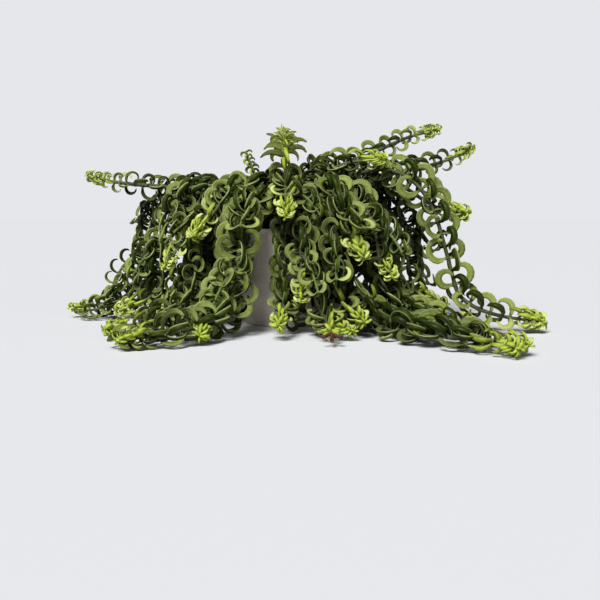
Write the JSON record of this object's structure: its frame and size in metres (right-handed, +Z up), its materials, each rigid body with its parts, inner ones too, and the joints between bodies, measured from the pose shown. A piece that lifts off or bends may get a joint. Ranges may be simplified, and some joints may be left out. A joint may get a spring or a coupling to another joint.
{
  "type": "potted trailing plant",
  "caption": "Trailing houseplant with leaves curled back into rings, hanging over a plain tapered pot, with fresh tips and brown flower tubes.",
  "frame": {"origin": "the middle of the pot's foot, on the surface the pot stands on", "axes": "+Z up, the pictured front faces -Y, and +X is to the right of that view"},
  "size_m": [0.4809, 0.4041, 0.2059],
  "materials": {
    "pot": "matte unglazed stoneware, warm light grey",
    "soil": "dark crumbly potting soil",
    "leaf": "glossy waxy leaf, dark green outside and paler inside, lime at the tips",
    "flower": "matte brown-red flower tube"
  },
  "bodies": {
    "root": {"pot": "pot", "soil": "soil", "flowers_front": "flower", "flower_right": "flower", "flowers_left": "flower", "vine_top": "leaf", "vine_top_thin": "leaf", "vine_high_right_back": "leaf", "vine_high_right": "leaf", "vine_high_right_low": "leaf", "vine_high_right_front": "leaf", "vine_high_front_right": "leaf", "vine_high_front": "leaf", "vine_high_front_left": "leaf", "vine_high_left": "leaf", "vine_high_left_back": "leaf", "vine_high_back_left": "leaf", "vine_high_back_right": "leaf", "vine_mid_right": "leaf", "vine_mid_right_long": "leaf", "vine_mid_right_front": "leaf", "vine_mid_front": "leaf", "vine_mid_front_right": "leaf", "vine_mid_front_left": "leaf", "vine_mid_left_front": "leaf", "vine_mid_left": "leaf", "vine_mid_left_far": "leaf", "vine_mid_back_left": "leaf", "vine_mid_back": "leaf", "vine_mid_right_back": "leaf", "vine_low_front_left": "leaf", "vine_low_front_middle": "leaf", "vine_low_front": "leaf", "vine_low_front_right": "leaf", "vine_low_right": "leaf", "vine_low_right_back": "leaf", "vine_low_back_right": "leaf", "vine_low_back_left": "leaf", "vine_low_left_back": "leaf", "vine_low_left": "leaf"}
  },
  "joints": []
}
